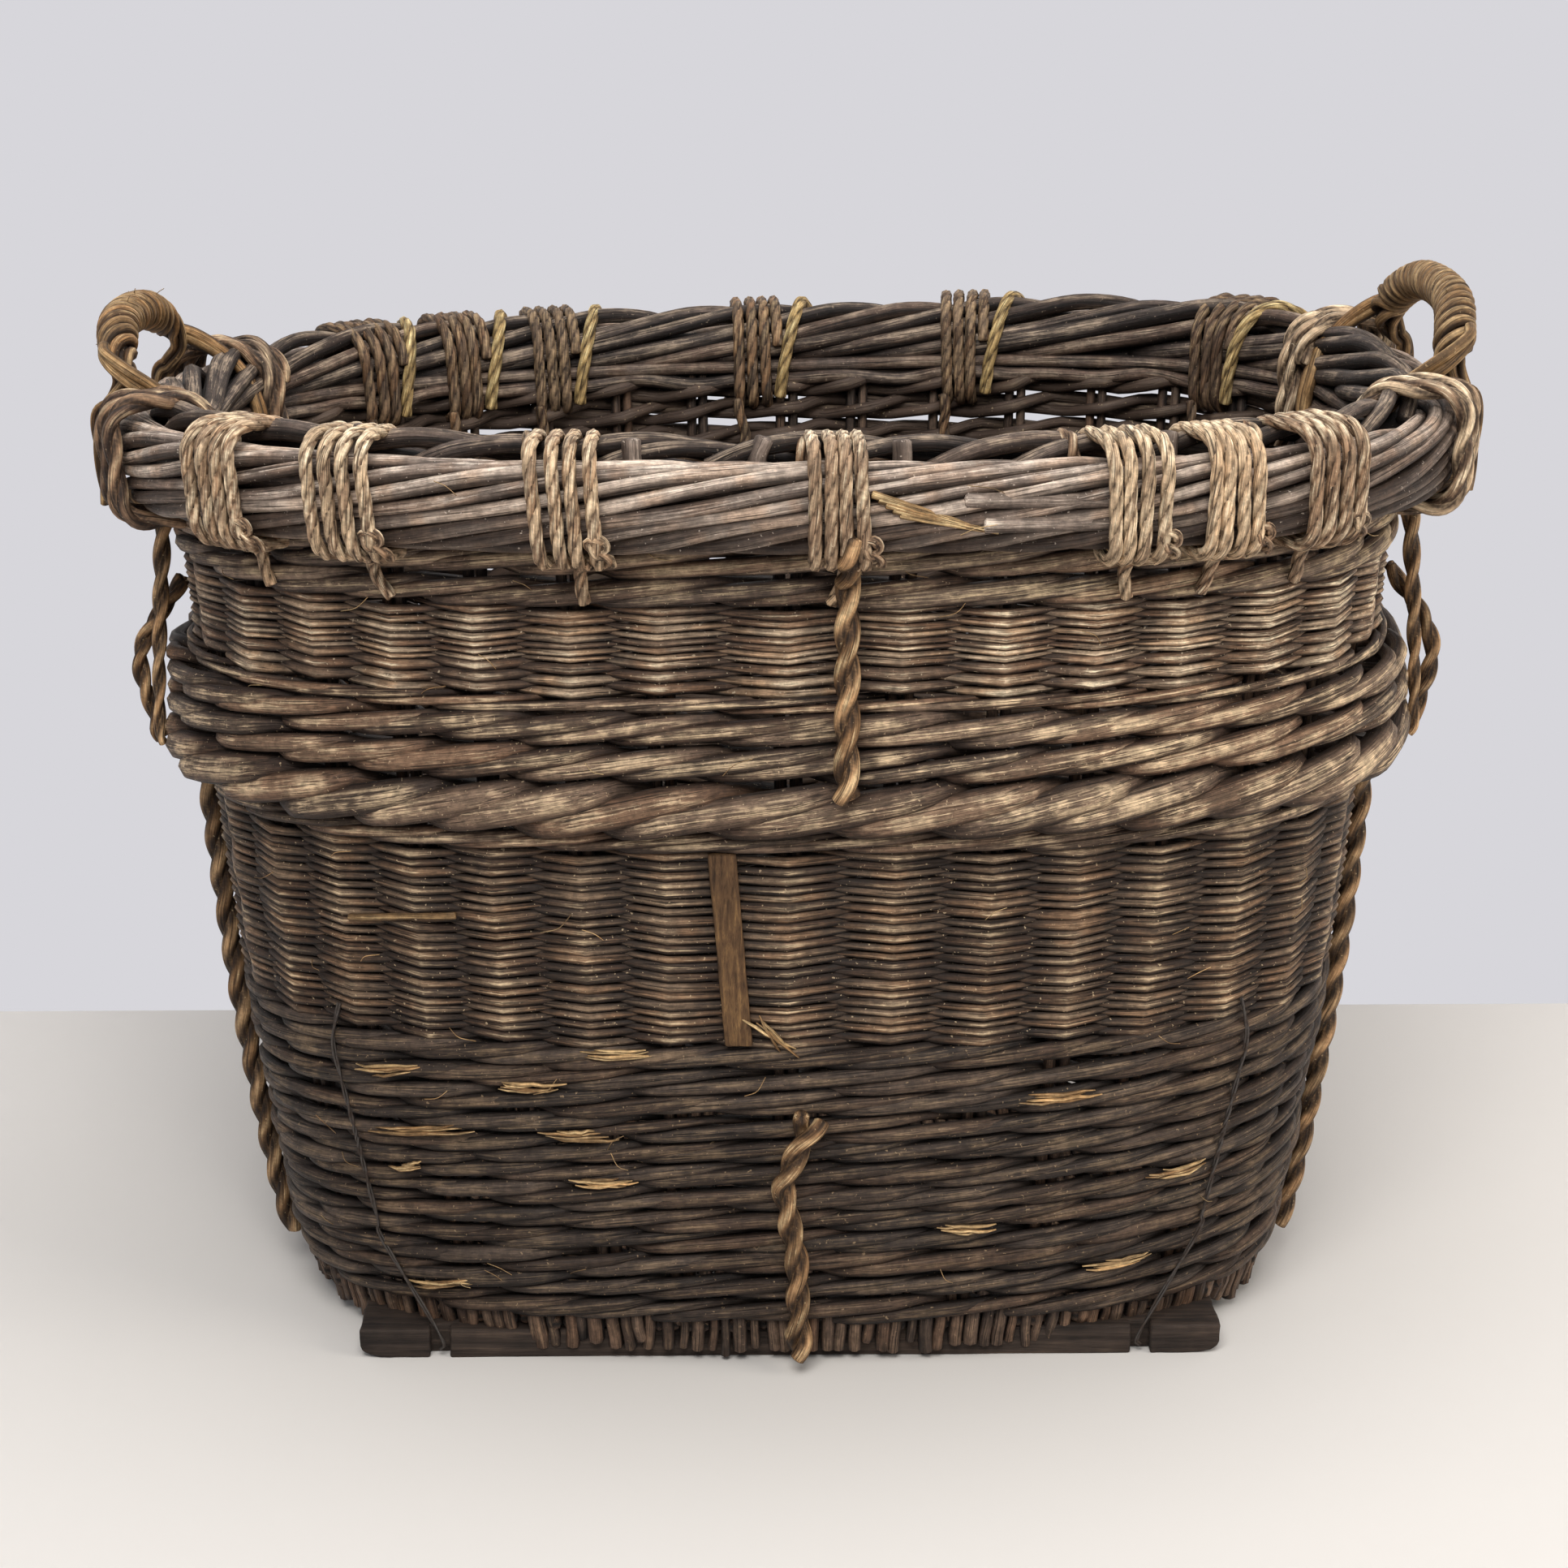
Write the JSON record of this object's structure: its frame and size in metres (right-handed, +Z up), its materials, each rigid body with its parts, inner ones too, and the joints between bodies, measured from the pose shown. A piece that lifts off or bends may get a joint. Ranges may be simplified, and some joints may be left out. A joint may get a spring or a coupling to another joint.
{
  "type": "grape harvest basket",
  "caption": "Large tapered willow basket with rounded corners, woven bands, a lashed rim, a roped handle at each end and two wooden runners.",
  "frame": {"origin": "middle of the basket on the floor, under the runners", "axes": "+X along the basket to its right handle, +Y to its back, +Z up"},
  "size_m": [0.8888, 0.6836, 0.6826],
  "materials": {
    "dark_willow": "weathered, rough",
    "brown_willow": "weathered, rough",
    "grey_willow": "weathered, rough",
    "tan_willow": "dry, rough",
    "yellow_willow": "worn smooth by hands",
    "runner_wood": "soiled, rough",
    "iron_wire": "dull, rusted"
  },
  "bodies": {
    "root": {"front_runner": "runner_wood", "back_runner": "runner_wood", "base_mat": "dark_willow", "lower_wale": "dark_willow", "lower_panel": "brown_willow", "middle_wale": "brown_willow", "upper_panel": "brown_willow", "top_wale": "brown_willow", "border": "dark_willow", "rim_bundle": "grey_willow", "left_handle": "yellow_willow", "right_handle": "yellow_willow", "mending_stake": "tan_willow", "front_lashing_1": "tan_willow", "front_lashing_2": "tan_willow", "front_lashing_3": "tan_willow", "front_lashing_4": "tan_willow", "front_lashing_5": "tan_willow", "front_lashing_6": "tan_willow", "front_lashing_7": "tan_willow", "back_lashing_1": "tan_willow", "back_lashing_2": "tan_willow", "back_lashing_3": "tan_willow", "back_lashing_4": "tan_willow", "back_lashing_5": "tan_willow", "back_lashing_6": "tan_willow", "left_front_handle_wrap": "tan_willow", "left_back_handle_wrap": "tan_willow", "right_front_handle_wrap": "tan_willow", "right_back_handle_wrap": "tan_willow", "front_upper_strap": "yellow_willow", "front_lower_strap": "yellow_willow", "back_upper_strap": "yellow_willow", "back_lower_strap": "yellow_willow", "left_upper_strap": "yellow_willow", "left_strap_loop": "yellow_willow", "left_lower_strap": "yellow_willow", "right_upper_strap": "yellow_willow", "right_strap_loop": "yellow_willow", "right_lower_strap": "yellow_willow", "front_left_wire": "iron_wire", "front_right_wire": "iron_wire", "back_left_wire": "iron_wire", "back_right_wire": "iron_wire"}
  },
  "joints": []
}
